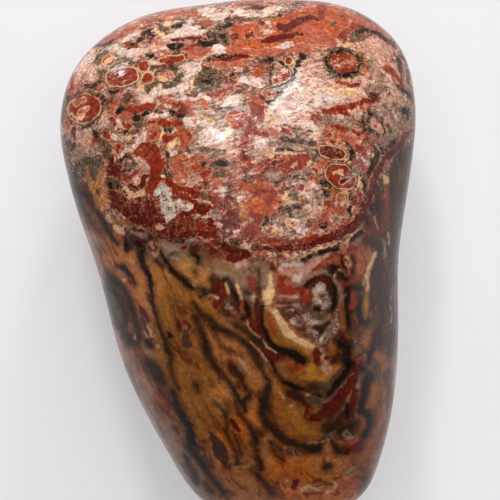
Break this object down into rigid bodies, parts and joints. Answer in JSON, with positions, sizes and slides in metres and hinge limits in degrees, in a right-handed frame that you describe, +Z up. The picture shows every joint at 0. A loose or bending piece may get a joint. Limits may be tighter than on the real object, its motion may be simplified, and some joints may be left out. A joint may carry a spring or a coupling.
{
  "type": "tumbled leopard skin jasper",
  "caption": "Tumbled and polished leopard skin jasper, broad and domed at one end and narrow at the other, lying on a small flat spot.",
  "frame": {"origin": "centre of the stone's box on the surface it rests on", "axes": "+Y along the length towards the broad end, +X across the width, +Z up through the marked side"},
  "size_m": [0.0204, 0.0298, 0.0165],
  "materials": {
    "polished_jasper": "polished"
  },
  "bodies": {
    "root": {"jasper_stone": "polished_jasper"}
  },
  "joints": []
}
